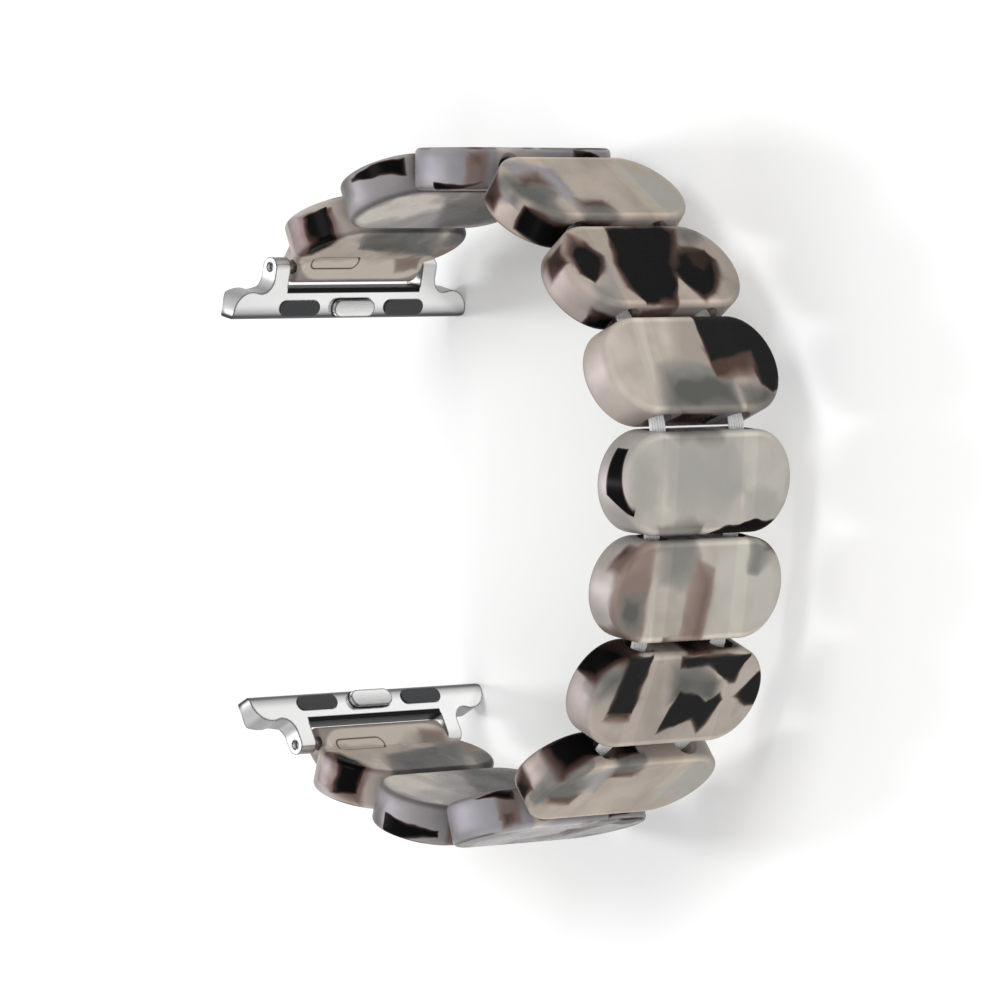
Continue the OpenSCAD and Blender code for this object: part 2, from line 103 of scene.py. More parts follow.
paper_level = before[0][2]
paper_half = 3
paper_mesh = bpy.data.meshes.new("paper")
bm = bmesh.new()
bmesh.ops.create_grid(bm, x_segments=1, y_segments=1, size=paper_half,
                      matrix=Matrix.Translation((0, 0, paper_level)))
bm.to_mesh(paper_mesh)
bm.free()
paper = bpy.data.objects.new("paper", paper_mesh)
bpy.context.collection.objects.link(paper)
white = bpy.data.materials.new("white_paper")
white.use_nodes = True
sheet = white.node_tree.nodes["Principled BSDF"].inputs
sheet["Base Color"].default_value = (0.92, 0.92, 0.92, 1)
sheet["Roughness"].default_value = 0.9
paper_mesh.materials.append(white)

# Links in the strap
# Thirteen links roll on their neighbours' inner edges. The direction that each one faces,
# and the line on which it rolls, give every link's place. Millimetres, as in the CAD.
half_pitch = 4.9
roll_off = 1.4
faces = {1: 110, 2: 110, 3: 87, 4: 50, 5: 36, 6: 20.5, 7: -7.5,
         8: -12, 9: -26.5, 10: -57, 11: -77.5, 12: -109.5, 13: -109.5}


def outward(i):
    return Vector((math.cos(math.radians(faces[i])), math.sin(math.radians(faces[i])), 0))


def along(i):
    return Vector((-math.sin(math.radians(faces[i])), math.cos(math.radians(faces[i])), 0))


centres = {7: Vector((22.7046, 0.6831, 0))}
for i in range(6, 0, -1):
    pivot = centres[i + 1] + half_pitch * along(i + 1) - roll_off * outward(i + 1)
    centres[i] = pivot + half_pitch * along(i) + roll_off * outward(i)
for i in range(8, 14):
    pivot = centres[i - 1] - half_pitch * along(i - 1) - roll_off * outward(i - 1)
    centres[i] = pivot - half_pitch * along(i) + roll_off * outward(i)

# Resin
# The links are cut from a cast sheet in which shards of dark resin lie in milky greige,
# then tumbled to a satin polish. A shard's rim turns reddish brown where it thins out.
# A shard is the space inside a few flat cuts, so its outline has straight, broken edges.


def group(name, inputs, outputs):
    tree = bpy.data.node_groups.new(name, "ShaderNodeTree")
    for way, sockets in (("INPUT", inputs), ("OUTPUT", outputs)):
        for socket, kind in sockets.items():
            tree.interface.new_socket(socket, in_out=way, socket_type="NodeSocket" + kind)
    given = tree.nodes.new("NodeGroupInput").outputs if inputs else None
    result = tree.nodes.new("NodeGroupOutput").inputs
    return tree, given, result


def feed(tree, sockets, values):
    """Give each named socket a value, or a link from another node's socket"""
    for name, value in values.items():
        if isinstance(value, bpy.types.NodeSocket):
            tree.links.new(value, sockets[name])
        else:
            sockets[name].default_value = value


def node(tree, kind, values, **settings):
    made = tree.nodes.new("ShaderNode" + kind)
    for name, setting in settings.items():
        setattr(made, name, setting)
    feed(tree, made.inputs, values)
    return made


def calc(tree, operation, *values):
    return node(tree, "Math", dict(enumerate(values)), operation=operation).outputs[0]


def dot(tree, first, second):
    made = node(tree, "VectorMath", {0: first, 1: second}, operation="DOT_PRODUCT")
    return made.outputs["Value"]


# One flat cut: how far a point lies past it, or past the cuts before it
cut, given, result = group(
    "resin_cut", {"Point": "Vector", "Facing": "Vector", "Reach": "Float", "Before": "Float"},
    {"Distance": "Float"})
past = calc(cut, "SUBTRACT", dot(cut, given["Point"], given["Facing"]), given["Reach"])
feed(cut, result, {"Distance": calc(cut, "MAXIMUM", past, given["Before"])})


def remap(tree, value, start=0, end=1, low=0, high=1, kind="LINEAR"):
    values = {"Value": value, "From Min": start, "From Max": end, "To Min": low, "To Max": high}
    return node(tree, "MapRange", values, interpolation_type=kind).outputs["Result"]


def ramp(tree, value, start, end, most=1):
    return remap(tree, value, start, end, 0, most, "SMOOTHSTEP")


def blend(tree, amount, under, over, how="MIX"):
    values = {"Factor": amount, "A": under, "B": over}
    return node(tree, "Mix", values, data_type="RGBA", blend_type=how).outputs["Result"]


# The colour of a shard over what lies behind it: first its rim, then its core. Each starts
# and is full at a share of the edge's width past the cut. A rim only darkens, so shards
# that meet join without a seam.
shard_parts = (("Rim", 0.6, -0.2, "DARKEN"), ("Core", 0.2, -1, "MIX"))
fill, given, result = group(
    "resin_fill", {"Colour": "Color", "Distance": "Float", "Blur": "Float", "Rim": "Color",
                   "Core": "Color", "Edge": "Float", "Strength": "Float"}, {"Colour": "Color"})
width = calc(fill, "MULTIPLY", given["Edge"], given["Blur"])
colour = given["Colour"]
for tone, start, end, how in shard_parts:
    amount = ramp(fill, given["Distance"], calc(fill, "MULTIPLY", width, start),
                  calc(fill, "MULTIPLY", width, end), given["Strength"])
    colour = blend(fill, amount, colour, given[tone], how)
feed(fill, result, {"Colour": colour})

# Random shards for the depths and the sides that the drawn ones don't reach: cells of a
# broken pattern, of which a share is dark. The light cells are set far off.
cell_scale, cell_width = 0.24, 4
light_off, rim_off = 9, 0.3
deep, given, result = group(
    "resin_depths", {"Point": "Vector", "Share": "Float"}, {"Distance": "Float"})
broken = {"Vector": given["Point"], "Scale": cell_scale}
cells = node(deep, "TexVoronoi", broken).outputs["Color"]
rims = node(deep, "TexVoronoi", broken, feature="DISTANCE_TO_EDGE").outputs["Distance"]
pick = node(deep, "SeparateColor", {"Color": cells}).outputs["Red"]
light = calc(deep, "GREATER_THAN", pick, given["Share"])
away = calc(deep, "MULTIPLY_ADD", light, light_off, rim_off)
feed(deep, result, {"Distance": calc(deep, "MULTIPLY_ADD", rims, -cell_width, away)})


def length(tree, x, y):
    flat = node(tree, "CombineXYZ", {"X": x, "Y": y}).outputs[0]
    return node(tree, "VectorMath", {0: flat}, operation="LENGTH").outputs["Value"]


def product(tree, values):
    whole = values[0]
    for value in values[1:]:
        whole = calc(tree, "MULTIPLY", whole, value)
    return whole


# Masks of a link's form: its wall and the foot of the wall, where shade is painted, the line
# where the polish rounds the face's edge and the turned end, where a highlight is painted,
# the thin resin over the cord holes, and the seam round the plug that closes the knot pocket
# in an end link's tongue
cord_off = 5.2
drop = math.radians(31)
bend_off, pocket_at, pocket_off = 1.8, 1.7, 4.05
pocket_half, pocket_round = 2.3, 0.74
form, given, result = group(
    "resin_form", {"Point": "Vector", "Straight": "Float", "Tongue": "Float"},
    {name: "Float" for name in ("Wall", "Line", "FootShade", "EndHighlight", "Bore", "Seam")})
parts = node(form, "SeparateXYZ", {0: given["Point"]}).outputs
level = parts["X"]
middle_off = calc(form, "ABSOLUTE", parts["Y"])
side_off = calc(form, "ABSOLUTE", parts["Z"])
turned = calc(form, "MAXIMUM", calc(form, "SUBTRACT", side_off, given["Straight"]), 0)
rim = length(form, turned, parts["Y"])
bore_off = calc(form, "ABSOLUTE", calc(form, "SUBTRACT", side_off, cord_off))
toward = calc(form, "MULTIPLY", parts["Y"], given["Tongue"])
toward = calc(form, "MULTIPLY_ADD", toward, math.cos(drop),
              -bend_off * math.cos(drop) - pocket_at)
toward = calc(form, "MULTIPLY_ADD", level, -math.sin(drop), toward)
aside = calc(form, "ABSOLUTE", calc(form, "ADD", parts["Z"], pocket_off))
aside = calc(form, "MAXIMUM", calc(form, "SUBTRACT", aside, pocket_half), 0)
seam_off = calc(form, "SUBTRACT", length(form, toward, aside), pocket_round)
seam_off = calc(form, "ABSOLUTE", seam_off)

# A mask is a product of ramps: what each runs along, where it starts and where it is full
masks = {
    "Wall": ((rim, 4.2, 4.6), (level, 1.9, 1.3)),
    "Line": ((rim, 4.05, 4.35), (rim, 4.7, 4.45), (level, 1.4, 1.8), (side_off, 9.5, 6)),
    "FootShade": ((rim, 4.1, 4.5), (level, -1.5, -1.9)),
    "EndHighlight": ((middle_off, 2.6, 0), (turned, 3.4, 4.4), (level, 1.7, 0.6), (level, -1.9, -0.8)),
    "Bore": ((bore_off, 1.1, 0.8), (level, 1.2, 1.8)),
    "Seam": ((seam_off, 0.16, 0.04), (level, -0.8, -1.2))}
for name, steps in masks.items():
    feed(form, result, {name: product(form, [ramp(form, *step) for step in steps])})

# Each finish of a shard: the colour of its rim and of its core, the softness of its edge
# in millimetres, and how much it hides
finishes = {
    "black": ((0.085, 0.050, 0.040), (0.0035, 0.003, 0.003), 0.6, 1.0),
    "jet": ((0.05, 0.028, 0.022), (0.0035, 0.003, 0.003), 0.16, 1.0),
    "ink": ((0.065, 0.046, 0.037), (0.012, 0.012, 0.012), 0.3, 1.0),
    "brown": ((0.19, 0.130, 0.105), (0.058, 0.034, 0.027), 0.7, 0.9),
    "umber": ((0.20, 0.15, 0.13), (0.15, 0.11, 0.095), 0.6, 0.85),
    "amber": ((0.05, 0.032, 0.024), (0.030, 0.018, 0.013), 0.7, 0.9),
    "slate": ((0.17, 0.16, 0.145), (0.095, 0.096, 0.088), 1.3, 0.95),
    "smoke": ((0.25, 0.24, 0.22), (0.19, 0.19, 0.175), 1.2, 0.85),
    "haze": ((0.345, 0.33, 0.305), (0.32, 0.315, 0.295), 1.9, 0.75),
    "greige": ((0.36, 0.31, 0.27), (0.33, 0.285, 0.25), 1.4, 0.8),
    "frost_and_highlight": ((0.42, 0.40, 0.40), (0.46, 0.44, 0.445), 0.9, 0.9),
    "mauve": ((0.255, 0.238, 0.25), (0.225, 0.215, 0.235), 0.8, 0.95),
    "rose": ((0.26, 0.20, 0.175), (0.21, 0.155, 0.135), 0.8, 0.9),
    "shell": ((0.50, 0.44, 0.39), (0.60, 0.53, 0.465), 0.5, 0.9),
    "pale": ((0.45, 0.40, 0.355), (0.47, 0.42, 0.37), 0.5, 0.85),
    "cream": ((0.55, 0.51, 0.45), (0.62, 0.57, 0.51), 1.0, 0.95),
    "bone": ((0.43, 0.405, 0.36), (0.465, 0.445, 0.40), 2.0, 0.85)}

# Each link's milky body colour, and its shards: the finish, the lowest and the highest
# level outward from the link's middle, and the outline across and along the link
bodies = {
    1: (0.44, 0.385, 0.335), 2: (0.30, 0.285, 0.28), 3: (0.29, 0.28, 0.285),
    4: (0.37, 0.315, 0.265), 5: (0.38, 0.325, 0.28), 6: (0.46, 0.405, 0.35),
    7: (0.42, 0.39, 0.35), 8: (0.42, 0.385, 0.34), 9: (0.36, 0.315, 0.28)}
shards = {
    # On link 1, and mirrored on link 13, the pale shard over the turned end is partly the
    # resin's pale tone and partly a painted highlight
    1: (("frost_and_highlight", -9, 4, ((-11, 3.5), (-9.5, 3.2), (-9.2, -2), (-9, -4.5), (-11, -4))),
        ("shell", -9, -1.4, ((-9.5, 2.4), (9.5, 1.8), (9.5, 8), (-9.5, 8))),
        ("slate", -9, -0.5, ((-6.4, -5), (3.4, -5), (7, 0.2), (7.2, 1.6), (2.1, 0.6),
                             (-3.2, -0.2))),
        ("slate", -9, -1.0, ((4.2, -0.3), (6, -1.3), (7.7, 1.3), (5.4, 1.5))),
        ("smoke", -9, -1.0, ((1.8, -4.2), (3.8, -4.9), (4.6, -2.6), (3.5, -1.2))),
        ("slate", -9, 1.0, ((5.4, -4.4), (7.4, -5), (10, -2.5), (10, -0.8), (7.4, -0.8))),
        ("rose", -9, 1.0, ((7.2, -0.6), (10, -0.9), (9.4, 2), (7.4, 1.5))),
        ("rose", -9, -1.6, ((3.8, 2.3), (6.8, 1.6), (7.1, 3), (4.6, 3.4))),
        ("brown", -9, 1.3, ((-10, -1.5), (-9.6, -3), (-8.7, -3.6), (-7.9, -3.3), (-7.7, -1.2),
                            (-8.2, 1.1), (-9.5, 1.6), (-10, -0.1))),
        ("jet", -9, 1.0, ((-9.9, -1.9), (-9.5, -2.9), (-8.7, -3.2), (-8.2, -3), (-8, -1.2),
                          (-8.5, 0.6), (-9.3, 0.8), (-9.8, -0.5)))),
    2: (("slate", -4, -1, ((-2.9, -3.4), (2.2, -5), (9, -3.4), (9.4, 2.5), (2.2, 5), (0.6, 2))),
        ("cream", -4, -1.3, ((-10.4, 0.2), (-9.2, -2.9), (-6.4, -4.6), (-2.6, -3.4), (0.6, 2.6),
                               (-1, 4.9), (-7.4, 4.9), (-10.2, 2.4))),
        ("brown", -4, 4, ((-7.4, -4.5), (3, -4.3), (3, -5.2), (-7.4, -5.2))),
        ("jet", 0.4, 1.6, ((-11.6, 0.3), (-10.3, 0.3), (-8.1, -3.6), (-8.4, -5.2),
                           (-11.6, -4.8))),
        ("slate", 0, 1.8, ((-11.5, 2.8), (-10.2, 2.8), (-10.6, 1), (-11.5, 1)))),
    3: (("slate", -4, -1.4, ((0.5, -5.2), (8, -5.2), (9.4, 0.5), (5.5, 3.4), (2.4, 1))),
        ("cream", -4, -1.6, ((-9.4, -1.5), (-5, -3.2), (-1.6, -1), (-2.8, 3.6), (-8, 3.2))),
        ("ink", -4, -1.2, ((5.6, 3), (9, 0.8), (10.6, 2.4), (8, 4.9), (6, 4.9))),
        ("pale", -4, 1.2, ((-6.8, -4.3), (7, -4.3), (7, -5.2), (-6.8, -5.2))),
        ("umber", -1.8, 1.2, ((-9.5, -3.2), (-8, -4), (-8, -5.2), (-9.8, -5.2))),
        ("brown", 0.3, 1.5, ((-9.3, -3.2), (-8.3, -4), (-8.3, -5.2), (-9.5, -5))),
        ("jet", -1.75, -1.4, ((-11.5, -0.4), (-10.4, -0.4), (-8.6, -3.2), (-8, -5.2),
                              (-11.5, -5))),
        ("ink", 0.4, 1.5, ((3.1, -4.3), (6.8, -4.2), (6.6, -5.2), (3.4, -5.2)))),
    4: (("mauve", -4, 1.6, ((-11.6, 4), (-9.4, 3.6), (-9, -2.6), (-4.4, -3.9), (-4.6, -5.2),
                            (-11.6, -5))),
        ("haze", -4, 4, ((4.6, 3.4), (10.4, 2.2), (10.4, -3), (6.5, -5), (5.2, -2))),
        ("slate", 0.9, 4, ((-10.9, 1.5), (-9.6, 1.2), (-7.6, -3), (-7.6, -4.6), (-9.6, -3.6),
                           (-11, -0.8))),
        ("brown", 0.9, 4, ((-8.9, 1.5), (-5.8, 2), (-5.5, 0), (-9.6, -0.6), (-10, 0.1))),
        ("slate", 0.6, 4, ((-9.4, 0.6), (-5.8, 0.8), (-5.8, -1.2), (-8, -3), (-10.1, -1.8),
                           (-10.2, 0))),
        ("black", -2, 1.2, ((-10.6, -2.2), (-4.6, -4.4), (-4.8, -5.2), (-10.8, -5.2))),
        ("black", -1.3, 0.7, ((-11.5, 2.4), (-9.9, 2.9), (-10.6, 0.6), (-11.5, 0.3))),
        ("brown", 1.0, 4, ((-4, -2.3), (-0.9, -2.3), (-0.4, -3.7), (-4.3, -3.7))),
        ("slate", 0.9, 4, ((-4.1, -2.8), (-0.6, -2.8), (-0.8, -4.9), (-4.8, -5))),
        ("black", -4, 1.2, ((-4.6, -4.3), (-1.2, -4.3), (-1.6, -5.2), (-4.4, -5.2)))),
    5: (("mauve", -4, 1.2, ((-11.6, 2), (-9.6, 1.6), (-9, -3), (-6, -4), (-6, -5.2),
                            (-11.6, -5))),
        ("smoke", 0, 4, ((-9.2, -2.4), (-7.2, -2.8), (-7, -4.6), (-9, -4.2))),
        ("brown", -1.3, -0.6, ((-11.5, 3.2), (-10, 2.9), (-10.2, 1.8), (-11.5, 2))),
        ("black", -0.5, 1.8, ((-11.5, 2.5), (-10.2, 2.5), (-10.7, 0.3), (-11.5, 0.2))),
        ("brown", 1, 4, ((-8.8, 3.9), (-6.9, 2.6), (-7.4, 0.8), (-10.4, 0), (-10.7, 1.2))),
        ("black", 0.8, 4, ((-8.8, 2.4), (-7.2, 2.5), (-5.9, 1.1), (-6.4, -0.2), (-8.9, -2),
                           (-10.2, -1), (-10, 1))),
        ("black", -4, 4, ((-3.4, 4.3), (3.4, 4.9), (5.8, 4.3), (0.4, -4.6), (-3.6, -4.6),
                          (-5, -2.7), (-4.9, 0))),
        ("black", 0.4, 4, ((4.2, 2), (7.9, 1.5), (8.7, 0.4), (8.1, -1.3), (6.2, -3.5),
                           (4.4, -4.2), (3.3, -3.2), (2, -0.6))),
        ("amber", 1, 4, ((5, 2.1), (8, 1.6), (8.3, 0.2), (6.4, -0.9), (5.2, -0.2))),
        ("slate", -0.5, 4, ((5.2, 4.8), (8.4, 4.2), (8.2, 3.2), (6.4, 2.3), (5.4, 3))),
        ("brown", -0.3, 1.4, ((-3.6, -4.4), (0.2, -4.4), (0, -5.2), (-3.6, -5.2))),
        ("black", -4, 0.3, ((-8.9, -3.9), (-6.6, -4.4), (-6.4, -5.2), (-8.9, -5.2)))),
    6: (("greige", -4, 4, ((-1.5, 5.2), (2.2, 5.2), (11.5, 2), (11.5, -4), (4.4, -5.2),
                           (-2.5, -5.2))),
        ("pale", -1, 4, ((-6.6, 5), (-4.9, 5), (-6, -5), (-7.6, -5))),
        ("smoke", -4, 4, ((-4.9, -0.2), (-0.9, 0.2), (4.2, -1), (4.4, -5.2), (-6, -5.2))),
        ("slate", 0, 4, ((-4.2, -1.6), (1, -1.2), (3.8, -2), (4, -4.6), (-5, -4.4))),
        ("brown", 0.8, 4, ((1.6, 1.4), (8.4, 1.8), (8.2, -1.1), (6, -1.3), (2.2, -1.6))),
        ("ink", -4, 4, ((1.4, 5.2), (7.2, 5.2), (9.4, 3.4), (8.2, 1.1), (6.1, 0.7),
                        (2.1, -0.2))),
        ("ink", -4, 4, ((7.2, 5.2), (9.6, 4), (11.5, 1), (11.5, -2.5), (9, -3.2), (7.9, -2.2),
                        (7.6, 0.9))),
        ("brown", 0, 4, ((9.8, -1.5), (11.5, -1.3), (11.5, -2.9), (9.5, -2.9))),
        ("slate", 0, 4, ((5.2, -2.6), (8.3, -2.4), (9.6, -3.6), (7.6, -4.6), (5.2, -4.5))),
        ("black", -0.7, 1.2, ((-3.4, -4.5), (2.2, -4.5), (2, -5.2), (-3, -5.2)))),
    7: (("bone", -4, 4, ((2.6, 5.2), (8, 5.2), (11.5, 2), (11.5, -3), (7.5, -5.2), (5.2, -4),
                         (4.4, 1))),
        ("haze", 0, 4, ((-6.2, 4.4), (2.8, 3.8), (4.8, -0.8), (2.2, -2.4), (-5.2, -1.6))),
        ("haze", 0, 4, ((-10.3, 2.9), (-8.6, 2.8), (-7.2, 0.4), (-7.7, -2.1), (-9.3, -1.9))),
        ("slate", -4, 4, ((-4.2, 4.3), (1, 4.3), (1, 5.2), (-6.4, 5.2))),
        ("haze", 0, 4, ((4.8, -1), (8.9, -1.2), (8.6, -3.4), (5.4, -3.8))),
        ("slate", -4, 4, ((-6.3, -4.15), (-0.6, -3.95), (-0.6, -5.2), (-6.3, -5.2))),
        ("jet", -4, 4, ((-1.4, -3.95), (5, -3.75), (8.7, -3), (10.4, -4.8), (-1.4, -5.4)))),
    8: (("bone", -4, 4, ((1.5, 5.2), (8, 5.2), (11.5, 2), (11.5, -3), (7.5, -5.2), (1, -5.2))),
        ("rose", 1.2, 4, ((-11.5, 1.5), (-10.2, 2.7), (-8.8, 5), (-6.6, 5), (-6.4, 0.3),
                          (-7.4, -5.2), (-10.4, -4), (-11.5, -1))),
        ("slate", 0.5, 4, ((-10.2, -0.2), (-7.4, -0.2), (-7.6, -3.2), (-9.2, -3.6),
                           (-10.2, -2))),
        ("pale", 0, 4, ((-6.6, 5), (-6, 5), (-5.6, -5), (-7.4, -5))),
        ("smoke", 0, 4, ((-5.9, 5.2), (-1.6, 5.2), (-0.7, 3.4), (-1, 1.2), (-2.6, 0.3),
                         (-5.3, 1))),
        ("rose", 0, 4, ((-1, 3), (1.5, 2.1), (1.6, 0), (0.7, -5.2), (-2.3, -5.2))),
        ("umber", 0.9, 4, ((0.1, 1.6), (1.3, 1.2), (1.3, -0.4), (0.6, -4.6), (-0.6, -4.6))),
        ("smoke", 0, 4, ((5.9, 5.2), (8.8, 4.4), (8.6, 3), (7.3, 1.1), (6, 1.4))),
        ("black", -4, 1.7, ((5.2, 4.4), (9.6, 3.5), (9.6, 5.2), (5.2, 5.2))),
        ("slate", -4, 1.8, ((-5.9, 4.45), (-0.6, 4.45), (-0.6, 5.2), (-5.9, 5.2))),
        ("brown", -4, 1.9, ((-10.2, -3), (-8.8, -3.9), (-6, -4.3), (-6, -5.2), (-10.6, -5.2))),
        ("brown", -4, 1.9, ((-4.3, -4.3), (0.4, -4.3), (0.4, -5.2), (-4.3, -5.2))),
        ("brown", 0.2, 2.0, ((-10.9, 2.3), (-9.2, 4.5), (-8.6, 4.2), (-10.3, 2)))),
    9: (("mauve", -4, 1.2, ((-11.6, 1), (-9.8, 0.6), (-9.4, -3), (-6, -4), (-6, -5.2),
                            (-11.6, -5))),
        ("slate", 0, 4, ((-10.8, 2.6), (-8, 4.8), (-6.6, 4.6), (-8.2, 1.3), (-10.6, 1))),
        ("black", -4, 1.5, ((-11.5, 1.8), (-9.5, 5.2), (-6.6, 5.2), (-7.6, 4.1), (-10, 1.8))),
        ("black", -4, 1.5, ((-8, 5.2), (-4.2, 5.2), (-4.4, 4.45), (-8, 4.2))),
        ("slate", 0.5, 4, ((-1.7, 3.1), (1.5, 3.4), (4.9, 1.7), (5, -0.2), (-1.1, -0.2))),
        ("brown", 0.5, 4, ((-8.6, 0), (-5.4, 0), (-5.7, -2), (-9, -1.8))),
        ("ink", -1, 4, ((-8.2, 4.6), (-5, 4.6), (-5.6, -1.3), (-8.8, -1.1))),
        ("black", -4, 1.7, ((-0.4, 4.45), (8.4, 4.3), (8.4, 5.2), (-0.4, 5.2))),
        ("ink", 0.8, 4, ((-1.2, 4.3), (8.2, 4.3), (7.4, 3.3), (-1, 3.2))),
        ("ink", 0.8, 4, ((2.4, 3.6), (7.5, 3.6), (6.9, 1.5), (6.2, 1.5))),
        ("ink", 0, 4, ((-0.1, 0.8), (2.2, 0.3), (5, -0.8), (4.6, -1.7), (-1.5, -3.4),
                       (-0.9, -1.1))),
        ("ink", 0, 4, ((3.6, -0.6), (5.4, 0.5), (6, -0.4), (4.6, -2.9), (3.8, -3.5),
                       (2.6, -2.1))),
        ("ink", -1, 4, ((9.8, 2.4), (11.5, 1.8), (11.5, -0.9), (9.4, -1.1), (7.6, -0.2))))}

# The lower links are cut from the same sheet, turned over: their shards mirror the upper ones
for low, high in ((10, 4), (11, 3), (12, 2), (13, 1)):
    bodies[low] = bodies[high]
    shards[low] = tuple((finish, inner, outer, tuple((x, -y) for x, y in outline))
                        for finish, inner, outer, outline in shards[high])

# A distance that lies inside every cut
deep_inside = -99


def shard(tree, point, blur, colour, finish, cuts, distance=deep_inside):
    for facing, reach in cuts:
        values = {"Point": point, "Facing": facing, "Reach": reach, "Before": distance}
        distance = node(tree, "Group", values, node_tree=cut).outputs["Distance"]
    rim, core, edge, strength = finishes[finish]
    values = {"Colour": colour, "Distance": distance, "Blur": blur, "Rim": (*rim, 1),
              "Core": (*core, 1), "Edge": edge, "Strength": strength}
    return node(tree, "Group", values, node_tree=fill).outputs["Colour"]


def outline_cuts(inner, outer, outline, lean):
    """The cuts of a drawn shard: two that lean a little, below and above, and its sides"""
    middle = sum((Vector(p) for p in outline), Vector((0, 0))) / len(outline)
    cuts = []
    for level, way in ((outer, 1), (inner, -1)):
        facing = Vector((way, lean, way * lean)).normalized()
        cuts.append((facing, facing.dot((level, middle.y, middle.x))))
    for a, b in zip(outline, outline[1:] + outline[:1]):
        a, b = Vector(a), Vector(b)
        normal = Vector((b.y - a.y, a.x - b.x)).normalized()
        if normal.dot(middle - a) > 0:
            normal = -normal
        cuts.append(((0, normal.y, normal.x), normal.dot(a)))
    return cuts


mm = 0.001


def shifted(tree, point, shift):
    return node(tree, "VectorMath", {0: point, 1: shift}, operation="ADD").outputs[0]


def noise(tree, point, scale, **more):
    return node(tree, "TexNoise", {"Vector": point, "Scale": scale, **more}).outputs


def tones(tree, value, low, high, stops=(0, 1)):
    made = node(tree, "ValToRGB", {"Fac": value})
    for stop, position, colour in zip(made.color_ramp.elements, stops, (low, high)):
        stop.position = position
        stop.color = (*colour, 1)
    return made.outputs["Color"]


def local_point(tree, place, face, flip=1):
    """The point in millimetres from a place: outward, along the strap and across it"""
    values = {"Vector": node(tree, "TexCoord", {}).outputs["Object"], "Location": place * mm,
              "Rotation": (0, 0, math.radians(face)), "Scale": (mm, mm * flip, -mm)}
    return node(tree, "Mapping", values, vector_type="TEXTURE").outputs["Vector"]


def material(name):
    made = bpy.data.materials.new(name)
    made.use_nodes = True
    return made, made.node_tree, made.node_tree.nodes["Principled BSDF"].inputs


def cover(names, made):
    for name in names:
        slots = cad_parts[name].data.materials
        slots.clear()
        slots.append(made)


# Where random shards may lie: on the side that the photo doesn't show, which is the outer
# one at the C's ends and the inner one elsewhere, and deep in the far end of each link. A
# side's cut is steep, so that nothing of them shows on the walls.
face_level = 1.85
steep = 6
outer_side = ((-steep, 0, 0), -steep * face_level)
inner_side = ((steep, 0, 0), -steep * face_level)
far_end = (((0, 0, -1), -9), ((1, 0, 0), 1.2), ((-1, 0, 0), 1.4))

# One shard lies across the left end of link 7, and shows on the wall alone
end_block = (((-1, 0, 0), 0.5), ((0.98, 0.196, 0), 1.5), ((0, -0.115, 0.994), -9.3),
             ((0, 1, 0), 3.2), ((-0.6, -0.8, 0), 1.15))

# The random shards: their finish, the share of cells that they fill, and how far off in
# the sheet their cells are taken from
random_shards = (("slate", 0.34, 40), ("brown", 0.16, 80), ("black", 0.3, 0))

# What each mask of a link's form multiplies the colour by, and how much of it shows. The
# walls and their foot take painted shade, the rounded rim of the face and the turned end take
# a painted highlight, the thin resin over the cord holes is lighter and the plug's seam darker.
tints = (("Wall", (0.79, 0.79, 0.84), 0.8), ("FootShade", (0.5, 0.47, 0.47), 0.8),
         ("EndHighlight", (1.5, 1.46, 1.54), 1), ("Bore", (1.09, 1.09, 1.08), 1),
         ("Line", (1.3, 1.29, 1.27), 1), ("Seam", (0.28, 0.26, 0.25), 1))

